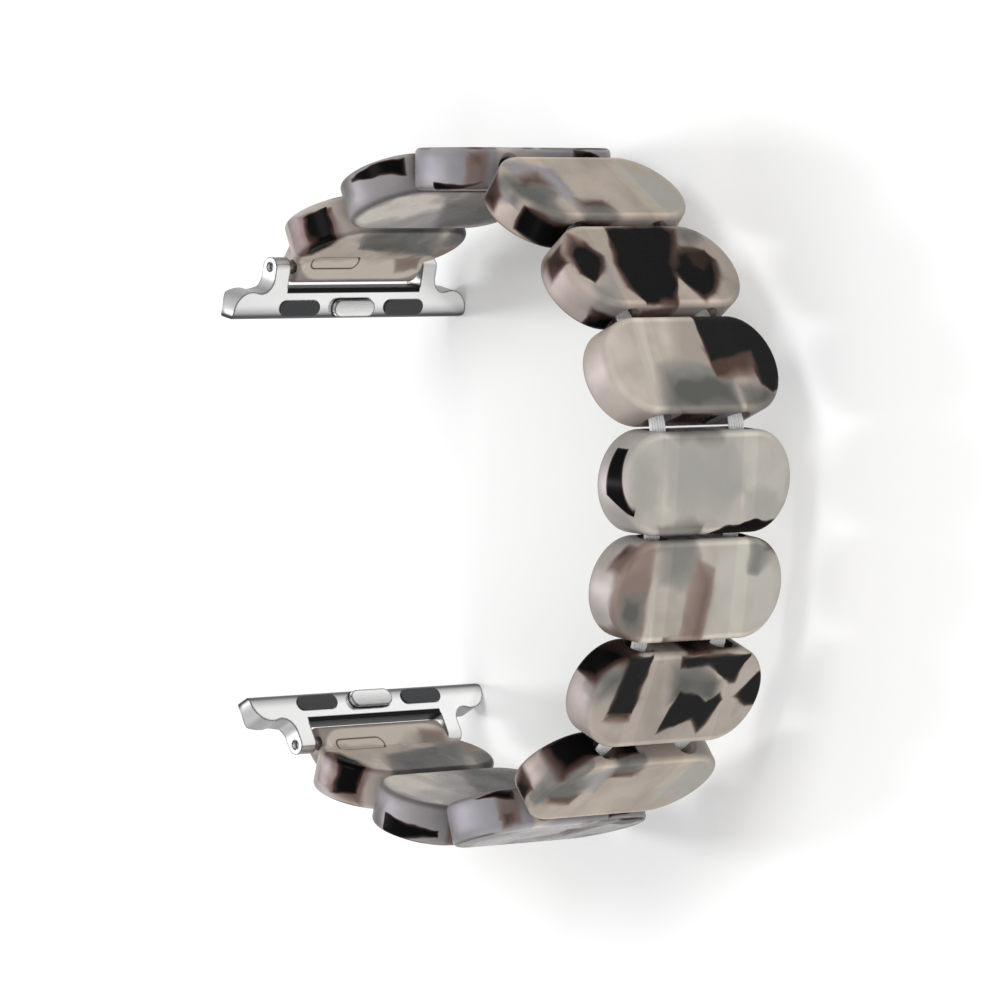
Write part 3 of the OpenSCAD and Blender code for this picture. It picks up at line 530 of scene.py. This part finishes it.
straight, end_straight = 6.2, 5.1
sheet_step = 17.3
shard_lean = 0.15
waver_size, waver_scale = 0.8, 0.42
blur_scale, blur_noise, blur_range = 0.35, (0.3, 0.7), (0.4, 1.8)
cloud_scale, cloud_stops, cloud_shades = 0.2, (0.32, 0.68), (0.80, 1.12)
wave_scale, wave_height = 0.5, 0.5
for i in range(1, 14):
    resin, tree, shader = material("resin_%02d" % i)
    local = local_point(tree, centres[i], faces[i])
    own = shifted(tree, local, (0, sheet_step * i, 0))
    waver = noise(tree, own, waver_scale, Detail=1.5)["Color"]
    steady = shifted(tree, local, (-waver_size / 2,) * 3)
    moved = node(tree, "VectorMath", {0: waver, 1: (waver_size,) * 3, 2: steady},
                 operation="MULTIPLY_ADD").outputs[0]
    blur = noise(tree, own, blur_scale, Detail=0)["Fac"]
    blur = remap(tree, blur, *blur_noise, *blur_range)

    # Milky body: lighter and darker clouds of the link's own tone
    dark, pale = ([shade * c for c in bodies[i]] for shade in cloud_shades)
    clouds = noise(tree, own, cloud_scale, Detail=3)["Fac"]
    colour = tones(tree, clouds, dark, pale, cloud_stops)

    # Random shards first; the drawn ones lie over them
    hidden_side = outer_side if i < 4 or i > 10 else inner_side
    for finish, share, shift in random_shards:
        values = {"Point": shifted(tree, own, (shift, 0, 0)), "Share": share}
        distance = node(tree, "Group", values, node_tree=deep).outputs["Distance"]
        for cuts in ((hidden_side,), far_end):
            colour = shard(tree, local, blur, colour, finish, cuts, distance)
    for k, (finish, inner, outer, outline) in enumerate(shards[i]):
        cuts = outline_cuts(inner, outer, outline, shard_lean if k % 2 else -shard_lean)
        colour = shard(tree, moved, blur, colour, finish, cuts)
    if i == 7:
        colour = shard(tree, local, blur, colour, "jet", end_block)

    # An end link is narrower, and its tongue points up or down the strap
    values = {"Point": local, "Straight": end_straight if i in (1, 13) else straight,
              "Tongue": {1: 1, 13: -1}.get(i, 0)}
    shape = node(tree, "Group", values, node_tree=form).outputs
    for mask, tint, amount in tints:
        share = calc(tree, "MULTIPLY", shape[mask], amount)
        colour = blend(tree, share, colour, (*tint, 1), "MULTIPLY")
    wave = noise(tree, own, wave_scale, Detail=1)["Fac"]
    ripple = node(tree, "Bump", {
        "Strength": 0.06, "Distance": wave_height * mm, "Height": wave})
    feed(tree, shader, {
        "Base Color": colour, "Normal": ripple.outputs["Normal"],
        "Roughness": remap(tree, wave, low=0.2, high=0.32),
        "IOR": 1.5, "Specular IOR Level": 0.03})
    plugs = {1: ["upper_knot_plug"], 13: ["lower_knot_plug"]}.get(i, [])
    cover(["link_%02d" % i] + plugs, resin)

# Elastic cords
# Clear stretch cord in flat bundles of six strands. Each bundle is cut at the middle of
# every link into short stretches, each curved through the gap that it crosses.
streak_scale = 900
clear, tree, shader = material("clear_elastic")
streak = noise(tree, node(tree, "TexCoord", {}).outputs["Object"], streak_scale)["Fac"]
feed(tree, shader, {
    "Base Color": tones(tree, streak, (0.86, 0.86, 0.86), (0.97, 0.97, 0.98)),
    "Roughness": remap(tree, streak, low=0.12, high=0.3),
    "Transmission Weight": 0.08, "IOR": 1.49})

strand_r = 0.15
strand_sides = 10
strand_steps = (-0.85, -0.51, -0.17, 0.17, 0.51, 0.85)
bend_room = 1.0
bend_steps = 8
end_stops = (0, 1.2, 2.45)
up = Vector((0, 0, 1))
for side, off in (("left", -cord_off), ("right", cord_off)):
    for i in range(0, 14):
        if 1 <= i <= 12:
            bend = math.radians((faces[i] - faces[i + 1]) / 2)
            cross = centres[i] - half_pitch * along(i) - roll_off * math.tan(bend) * along(i)
            before_bend = cross + bend_room * along(i)
            after_bend = cross - bend_room * along(i + 1)
            path = [centres[i], before_bend]
            for k in range(1, bend_steps):
                s = k / bend_steps
                path.append((1 - s) ** 2 * before_bend + 2 * s * (1 - s) * cross
                            + s * s * after_bend)
            path += [after_bend, centres[i + 1]]
        else:
            end_link = 1 if i == 0 else 13
            way = along(end_link) * (1 if i == 0 else -1)
            path = [centres[end_link] + stop * way for stop in end_stops]
        stations = []
        for k, p in enumerate(path):
            ahead = (path[min(k + 1, len(path) - 1)] - path[max(k - 1, 0)]).normalized()
            turn = Matrix((up, ahead.cross(up), ahead)).transposed().to_4x4()
            stations.append(Matrix.Translation(Vector((p.x, p.y, -off)) * mm) @ turn)
        bm = bmesh.new()
        for step in strand_steps:
            rings = []
            for station in stations:
                place = station @ Matrix.Translation((step * mm, 0, 0))
                rings.append(bmesh.ops.create_circle(bm, segments=strand_sides, matrix=place,
                                                     radius=strand_r * mm)["verts"])
            for here, there in zip(rings, rings[1:]):
                for k in range(strand_sides):
                    bm.faces.new((here[k - 1], here[k], there[k], there[k - 1]))
            bm.faces.new(rings[0])
            bm.faces.new(rings[-1])
        bmesh.ops.recalc_face_normals(bm, faces=bm.faces)
        for f in bm.faces:
            f.smooth = len(f.verts) == 4
        mesh = bpy.data.meshes.new("cord_%s_%02d" % (side, i))
        bm.to_mesh(mesh)
        bm.free()
        mesh.materials.append(clear)
        strands = bpy.data.objects.new("cord_%s_%02d" % (side, i), mesh)
        bpy.context.collection.objects.link(strands)
        if 1 <= i <= 12:
            start, end = before_bend, after_bend
            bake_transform(strands)
        else:
            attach(strands, "link_01" if i == 0 else "link_13")
        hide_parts("elastic_cord_" + side)
cover(("upper_cord_knot", "lower_cord_knot"), clear)

# Adapters
# Stainless steel, machined as one fork and nose, with buffed faces and duller outer walls.
# Painted shade darkens the walls, the end walls, the nose and the slot's edge, and painted dark
# reflections lie along the nose's lip and the broken edges. Sizes are measured from the
# spring bar. The springs, the bar's tube and its tips are of the same steel.
spring_bars = {"upper": (Vector((-22.5905, 22.7515, 0)), 164.5, 1),
               "lower": (Vector((-21.6399, -23.0726, 0)), -155, -1)}
edge_round, edge_samples = 0.26, 6
steel_hair = (4, 4, 0.12)

# Where each band of painted shade and painted dark reflection starts and where it is full:
# by how far the surface is turned, and in millimetres from the bar toward the nose, or across
# the adapter for the slot's end
edge_turn, wall_turn, end_turn = (0.998, 0.93), (0.95, 0.4), (0.5, 0.95)
nose_shade, nose_shade_most, lip_dark, nose_end = (3.4, 4.9), 0.9, (4.25, 4.8), (5.04, 4.97)
slot_foot, slot_top, slot_end = (2.45, 2.35), (1.6, 1.7), (8.8, 8.7)
# A mask for a painted dark reflection along the broken edges, where the rounded normal turns
# away from the face's own
edge_line_paint, _, result = group("painted_edge_lines", {}, {"Edge": "Float"})
rounded = node(edge_line_paint, "Bevel", {"Radius": edge_round * mm}, samples=edge_samples)
rounded = rounded.outputs["Normal"]
agree = dot(edge_line_paint, rounded, node(edge_line_paint, "NewGeometry", {}).outputs["Normal"])
feed(edge_line_paint, result, {"Edge": remap(edge_line_paint, agree, *edge_turn)})
for end, (place, face, toward_nose) in spring_bars.items():
    steel, tree, shader = material("buffed_steel_" + end)
    local = local_point(tree, place, face, toward_nose)
    hair = node(tree, "Mapping", {"Vector": local, "Scale": steel_hair}).outputs["Vector"]
    lines = noise(tree, hair, 1, Detail=3)["Fac"]
    parts = node(tree, "SeparateXYZ", {0: local}).outputs
    down, side_off = parts["Y"], calc(tree, "ABSOLUTE", parts["Z"])
    before_end = ramp(tree, down, *nose_end)
    normal = node(tree, "TexCoord", {}).outputs["Normal"]
    out = (math.cos(math.radians(face)), math.sin(math.radians(face)), 0)
    wall = ramp(tree, calc(tree, "ABSOLUTE", dot(tree, normal, out)), *wall_turn)
    ends = ramp(tree, calc(tree, "ABSOLUTE", dot(tree, normal, (0, 0, 1))), *end_turn)
    painted_shades = (
        # Painted shade: the fade toward the nose, the walls that face the strap and the nose,
        # the end walls
        (0.2, (ramp(tree, down, *nose_shade, nose_shade_most), before_end)),
        (0.35, (wall,)),
        (0.6, (ends,)),
        # Painted shade on the slot's edge, and painted dark reflections on the nose's lip and
        # along the broken edges
        (0.012, (ramp(tree, down, *slot_foot), ramp(tree, down, *slot_top),
                 ramp(tree, side_off, *slot_end))),
        (0.03, (ramp(tree, down, *lip_dark), before_end)),
        (0.012, (node(tree, "Group", {}, node_tree=edge_line_paint).outputs["Edge"],)))
    colour = tones(tree, lines, (0.96, 0.96, 0.96), (1, 1, 1))
    for shade, amounts in painted_shades:
        colour = blend(tree, product(tree, amounts), colour, (shade, shade, shade, 1))
    buffed = remap(tree, lines, low=0.12, high=0.22)
    feed(tree, shader, {
        "Base Color": colour, "Roughness": remap(tree, wall, low=buffed, high=0.45),
        "Metallic": remap(tree, wall, low=1, high=0.8)})
    cover([end + piece for piece in ("_adapter", "_latch_spring", "_bar_tube", "_bar_spring",
                                     "_left_bar_tip", "_right_bar_tip")], steel)

# Latch buttons
# Steel buttons with round ends that stand a little out of the adapter. Their faces are
# brushed along the adapter, with a painted reflection that runs from darker toward the strap
# to bright toward the nose, and painted dark reflections line their edges.
button_hair = (6, 6, 0.3)
button_painted_reflection = (2.95, 4.5)
for end, (place, face, toward_nose) in spring_bars.items():
    brushed, tree, shader = material("brushed_button_" + end)
    local = local_point(tree, place, face, toward_nose)
    down = node(tree, "SeparateXYZ", {0: local}).outputs["Y"]
    shade = remap(tree, down, *button_painted_reflection)
    tone = tones(tree, shade, (0.42, 0.42, 0.42), (0.93, 0.93, 0.93))
    edge = node(tree, "Group", {}, node_tree=edge_line_paint).outputs["Edge"]
    hair = node(tree, "Mapping", {"Vector": local, "Scale": button_hair}).outputs["Vector"]
    feed(tree, shader, {
        "Base Color": blend(tree, edge, tone, (0.05, 0.05, 0.05, 1)),
        "Roughness": remap(tree, noise(tree, hair, 1)["Fac"], low=0.18, high=0.34),
        "Metallic": 1})
    cover([end + "_latch_button"], brushed)

# Rubber pads
# Moulded charcoal rubber with a fine mould grain. Two pads are pressed into pockets of each
# adapter, one to each side of the latch button.
grain_scale, grain_depth = 6000, 0.03
rubber, tree, shader = material("charcoal_rubber")
grain = noise(tree, node(tree, "TexCoord", {}).outputs["Object"], grain_scale)["Fac"]
pits = node(tree, "Bump", {"Strength": 0.3, "Distance": grain_depth * mm, "Height": grain})
feed(tree, shader, {
    "Base Color": tones(tree, grain, (0.030, 0.034, 0.036), (0.060, 0.064, 0.068)),
    "Normal": pits.outputs["Normal"], "Roughness": 0.5, "Specular IOR Level": 0.3})
cover(("upper_rubber_pads", "lower_rubber_pads"), rubber)
